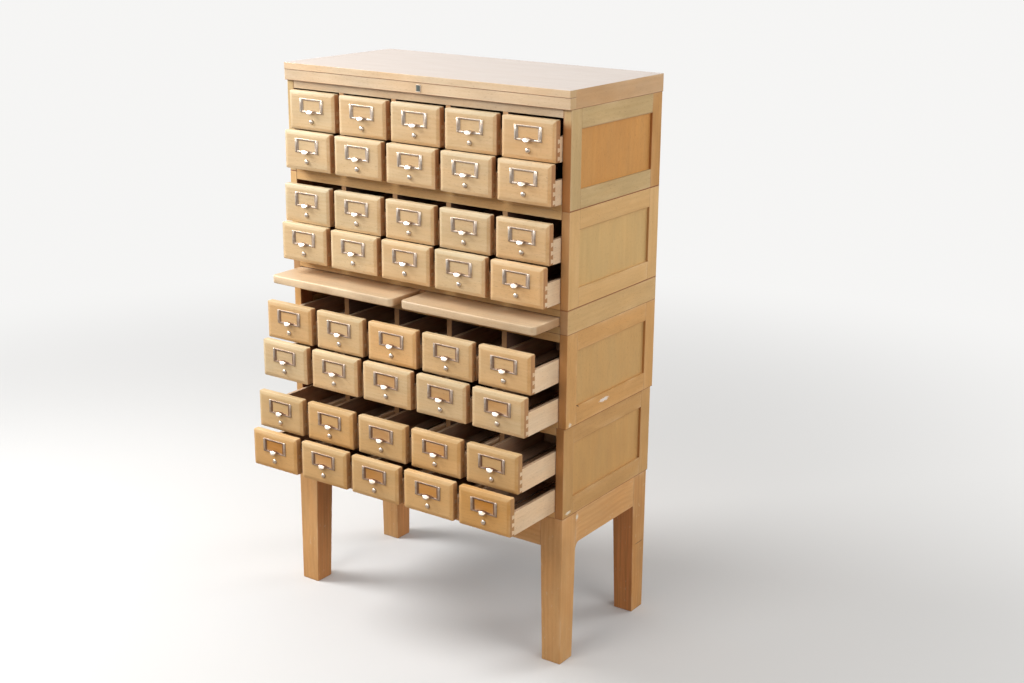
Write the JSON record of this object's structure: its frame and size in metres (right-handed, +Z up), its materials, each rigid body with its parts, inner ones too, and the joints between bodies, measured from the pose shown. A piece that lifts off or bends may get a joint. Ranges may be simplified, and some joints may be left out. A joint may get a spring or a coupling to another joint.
{
  "type": "card catalog cabinet",
  "caption": "Sectional wooden card catalog cabinet with rows of small drawers on runners, pull-out reference shelves between the sections, and a base with tapered legs.",
  "frame": {"origin": "the middle of the floor under the whole cabinet, with its drawers and shelves as they stand open", "axes": "+X to the right of someone facing the drawers, +Y to the back, +Z up"},
  "size_m": [0.845, 0.601, 1.395],
  "materials": {
    "case_wood": "satin varnished maple, honey brown",
    "panel_wood": "satin varnished veneer, warmer than the frames",
    "cap_wood": "satin varnished maple, paler top",
    "base_wood": "satin varnished maple, darker honey",
    "drawer_wood": "satin varnished drawer fronts",
    "tray_wood": "bare pale maple tray sides",
    "shelf_wood": "satin varnished board",
    "interior_wood": "dark stained interior wood",
    "nickel": "polished nickel plate, slightly worn"
  },
  "bodies": {
    "cabinet": {"cap_board": "cap_wood", "cap_band": "cap_wood", "cap_badge": "nickel", "section1_end_frames": "case_wood", "section2_end_frames": "case_wood", "section3_end_frames": "case_wood", "section4_end_frames": "case_wood", "end_panels": "panel_wood", "section_rails": "case_wood", "section1_partitions": "interior_wood", "section2_partitions": "interior_wood", "section3_partitions": "interior_wood", "section4_partitions": "interior_wood", "drawer_runners": "interior_wood", "back_boards": "interior_wood", "shelf_housing": "case_wood", "base_legs": "base_wood", "base_aprons": "base_wood"},
    "pull_shelf_left": {"pull_shelf_left": "shelf_wood"},
    "pull_shelf_right": {"pull_shelf_right": "shelf_wood"},
    "drawer_row1_col1": {"drawer_row1_col1": "drawer_wood"},
    "drawer_row1_col2": {"drawer_row1_col2": "drawer_wood"},
    "drawer_row1_col3": {"drawer_row1_col3": "drawer_wood"},
    "drawer_row1_col4": {"drawer_row1_col4": "drawer_wood"},
    "drawer_row1_col5": {"drawer_row1_col5": "drawer_wood"},
    "drawer_row2_col1": {"drawer_row2_col1": "drawer_wood"},
    "drawer_row2_col2": {"drawer_row2_col2": "drawer_wood"},
    "drawer_row2_col3": {"drawer_row2_col3": "drawer_wood"},
    "drawer_row2_col4": {"drawer_row2_col4": "drawer_wood"},
    "drawer_row2_col5": {"drawer_row2_col5": "drawer_wood"},
    "drawer_row3_col1": {"drawer_row3_col1": "drawer_wood"},
    "drawer_row3_col2": {"drawer_row3_col2": "drawer_wood"},
    "drawer_row3_col3": {"drawer_row3_col3": "drawer_wood"},
    "drawer_row3_col4": {"drawer_row3_col4": "drawer_wood"},
    "drawer_row3_col5": {"drawer_row3_col5": "drawer_wood"},
    "drawer_row4_col1": {"drawer_row4_col1": "drawer_wood"},
    "drawer_row4_col2": {"drawer_row4_col2": "drawer_wood"},
    "drawer_row4_col3": {"drawer_row4_col3": "drawer_wood"},
    "drawer_row4_col4": {"drawer_row4_col4": "drawer_wood"},
    "drawer_row4_col5": {"drawer_row4_col5": "drawer_wood"},
    "drawer_row5_col1": {"drawer_row5_col1": "drawer_wood"},
    "drawer_row5_col2": {"drawer_row5_col2": "drawer_wood"},
    "drawer_row5_col3": {"drawer_row5_col3": "drawer_wood"},
    "drawer_row5_col4": {"drawer_row5_col4": "drawer_wood"},
    "drawer_row5_col5": {"drawer_row5_col5": "drawer_wood"},
    "drawer_row6_col1": {"drawer_row6_col1": "drawer_wood"},
    "drawer_row6_col2": {"drawer_row6_col2": "drawer_wood"},
    "drawer_row6_col3": {"drawer_row6_col3": "drawer_wood"},
    "drawer_row6_col4": {"drawer_row6_col4": "drawer_wood"},
    "drawer_row6_col5": {"drawer_row6_col5": "drawer_wood"},
    "drawer_row7_col1": {"drawer_row7_col1": "drawer_wood"},
    "drawer_row7_col2": {"drawer_row7_col2": "drawer_wood"},
    "drawer_row7_col3": {"drawer_row7_col3": "drawer_wood"},
    "drawer_row7_col4": {"drawer_row7_col4": "drawer_wood"},
    "drawer_row7_col5": {"drawer_row7_col5": "drawer_wood"},
    "drawer_row8_col1": {"drawer_row8_col1": "drawer_wood"},
    "drawer_row8_col2": {"drawer_row8_col2": "drawer_wood"},
    "drawer_row8_col3": {"drawer_row8_col3": "drawer_wood"},
    "drawer_row8_col4": {"drawer_row8_col4": "drawer_wood"},
    "drawer_row8_col5": {"drawer_row8_col5": "drawer_wood"}
  },
  "joints": [
    {"name": "pull_shelf_left_slide", "type": "slide", "parent": "cabinet", "child": "pull_shelf_left", "axis": [0, -1, 0], "range_m": [-0.107, 0.153]},
    {"name": "pull_shelf_right_slide", "type": "slide", "parent": "cabinet", "child": "pull_shelf_right", "axis": [0, -1, 0], "range_m": [-0.101, 0.159]},
    {"name": "drawer_row1_col1_slide", "type": "slide", "parent": "cabinet", "child": "drawer_row1_col1", "axis": [0, -1, 0], "range_m": [-0.0195, 0.2805]},
    {"name": "drawer_row1_col2_slide", "type": "slide", "parent": "cabinet", "child": "drawer_row1_col2", "axis": [0, -1, 0], "range_m": [-0.02162, 0.27837]},
    {"name": "drawer_row1_col3_slide", "type": "slide", "parent": "cabinet", "child": "drawer_row1_col3", "axis": [0, -1, 0], "range_m": [-0.02375, 0.27625]},
    {"name": "drawer_row1_col4_slide", "type": "slide", "parent": "cabinet", "child": "drawer_row1_col4", "axis": [0, -1, 0], "range_m": [-0.02587, 0.27413]},
    {"name": "drawer_row1_col5_slide", "type": "slide", "parent": "cabinet", "child": "drawer_row1_col5", "axis": [0, -1, 0], "range_m": [-0.028, 0.272]},
    {"name": "drawer_row2_col1_slide", "type": "slide", "parent": "cabinet", "child": "drawer_row2_col1", "axis": [0, -1, 0], "range_m": [-0.0405, 0.2595]},
    {"name": "drawer_row2_col2_slide", "type": "slide", "parent": "cabinet", "child": "drawer_row2_col2", "axis": [0, -1, 0], "range_m": [-0.0415, 0.2585]},
    {"name": "drawer_row2_col3_slide", "type": "slide", "parent": "cabinet", "child": "drawer_row2_col3", "axis": [0, -1, 0], "range_m": [-0.0425, 0.2575]},
    {"name": "drawer_row2_col4_slide", "type": "slide", "parent": "cabinet", "child": "drawer_row2_col4", "axis": [0, -1, 0], "range_m": [-0.0435, 0.2565]},
    {"name": "drawer_row2_col5_slide", "type": "slide", "parent": "cabinet", "child": "drawer_row2_col5", "axis": [0, -1, 0], "range_m": [-0.0445, 0.2555]},
    {"name": "drawer_row3_col1_slide", "type": "slide", "parent": "cabinet", "child": "drawer_row3_col1", "axis": [0, -1, 0], "range_m": [-0.0475, 0.2525]},
    {"name": "drawer_row3_col2_slide", "type": "slide", "parent": "cabinet", "child": "drawer_row3_col2", "axis": [0, -1, 0], "range_m": [-0.04788, 0.25212]},
    {"name": "drawer_row3_col3_slide", "type": "slide", "parent": "cabinet", "child": "drawer_row3_col3", "axis": [0, -1, 0], "range_m": [-0.04825, 0.25175]},
    {"name": "drawer_row3_col4_slide", "type": "slide", "parent": "cabinet", "child": "drawer_row3_col4", "axis": [0, -1, 0], "range_m": [-0.04863, 0.25138]},
    {"name": "drawer_row3_col5_slide", "type": "slide", "parent": "cabinet", "child": "drawer_row3_col5", "axis": [0, -1, 0], "range_m": [-0.049, 0.251]},
    {"name": "drawer_row4_col1_slide", "type": "slide", "parent": "cabinet", "child": "drawer_row4_col1", "axis": [0, -1, 0], "range_m": [-0.062, 0.238]},
    {"name": "drawer_row4_col2_slide", "type": "slide", "parent": "cabinet", "child": "drawer_row4_col2", "axis": [0, -1, 0], "range_m": [-0.064, 0.236]},
    {"name": "drawer_row4_col3_slide", "type": "slide", "parent": "cabinet", "child": "drawer_row4_col3", "axis": [0, -1, 0], "range_m": [-0.066, 0.234]},
    {"name": "drawer_row4_col4_slide", "type": "slide", "parent": "cabinet", "child": "drawer_row4_col4", "axis": [0, -1, 0], "range_m": [-0.068, 0.232]},
    {"name": "drawer_row4_col5_slide", "type": "slide", "parent": "cabinet", "child": "drawer_row4_col5", "axis": [0, -1, 0], "range_m": [-0.07, 0.23]},
    {"name": "drawer_row5_col1_slide", "type": "slide", "parent": "cabinet", "child": "drawer_row5_col1", "axis": [0, -1, 0], "range_m": [-0.125, 0.175]},
    {"name": "drawer_row5_col2_slide", "type": "slide", "parent": "cabinet", "child": "drawer_row5_col2", "axis": [0, -1, 0], "range_m": [-0.12275, 0.17725]},
    {"name": "drawer_row5_col3_slide", "type": "slide", "parent": "cabinet", "child": "drawer_row5_col3", "axis": [0, -1, 0], "range_m": [-0.1205, 0.1795]},
    {"name": "drawer_row5_col4_slide", "type": "slide", "parent": "cabinet", "child": "drawer_row5_col4", "axis": [0, -1, 0], "range_m": [-0.11825, 0.18175]},
    {"name": "drawer_row5_col5_slide", "type": "slide", "parent": "cabinet", "child": "drawer_row5_col5", "axis": [0, -1, 0], "range_m": [-0.116, 0.184]},
    {"name": "drawer_row6_col1_slide", "type": "slide", "parent": "cabinet", "child": "drawer_row6_col1", "axis": [0, -1, 0], "range_m": [-0.146, 0.154]},
    {"name": "drawer_row6_col2_slide", "type": "slide", "parent": "cabinet", "child": "drawer_row6_col2", "axis": [0, -1, 0], "range_m": [-0.1445, 0.1555]},
    {"name": "drawer_row6_col3_slide", "type": "slide", "parent": "cabinet", "child": "drawer_row6_col3", "axis": [0, -1, 0], "range_m": [-0.143, 0.157]},
    {"name": "drawer_row6_col4_slide", "type": "slide", "parent": "cabinet", "child": "drawer_row6_col4", "axis": [0, -1, 0], "range_m": [-0.1415, 0.1585]},
    {"name": "drawer_row6_col5_slide", "type": "slide", "parent": "cabinet", "child": "drawer_row6_col5", "axis": [0, -1, 0], "range_m": [-0.14, 0.16]},
    {"name": "drawer_row7_col1_slide", "type": "slide", "parent": "cabinet", "child": "drawer_row7_col1", "axis": [0, -1, 0], "range_m": [-0.162, 0.138]},
    {"name": "drawer_row7_col2_slide", "type": "slide", "parent": "cabinet", "child": "drawer_row7_col2", "axis": [0, -1, 0], "range_m": [-0.16025, 0.13975]},
    {"name": "drawer_row7_col3_slide", "type": "slide", "parent": "cabinet", "child": "drawer_row7_col3", "axis": [0, -1, 0], "range_m": [-0.1585, 0.1415]},
    {"name": "drawer_row7_col4_slide", "type": "slide", "parent": "cabinet", "child": "drawer_row7_col4", "axis": [0, -1, 0], "range_m": [-0.15675, 0.14325]},
    {"name": "drawer_row7_col5_slide", "type": "slide", "parent": "cabinet", "child": "drawer_row7_col5", "axis": [0, -1, 0], "range_m": [-0.155, 0.145]},
    {"name": "drawer_row8_col1_slide", "type": "slide", "parent": "cabinet", "child": "drawer_row8_col1", "axis": [0, -1, 0], "range_m": [-0.188, 0.112]},
    {"name": "drawer_row8_col2_slide", "type": "slide", "parent": "cabinet", "child": "drawer_row8_col2", "axis": [0, -1, 0], "range_m": [-0.18725, 0.11275]},
    {"name": "drawer_row8_col3_slide", "type": "slide", "parent": "cabinet", "child": "drawer_row8_col3", "axis": [0, -1, 0], "range_m": [-0.1865, 0.1135]},
    {"name": "drawer_row8_col4_slide", "type": "slide", "parent": "cabinet", "child": "drawer_row8_col4", "axis": [0, -1, 0], "range_m": [-0.18575, 0.11425]},
    {"name": "drawer_row8_col5_slide", "type": "slide", "parent": "cabinet", "child": "drawer_row8_col5", "axis": [0, -1, 0], "range_m": [-0.185, 0.115]}
  ]
}
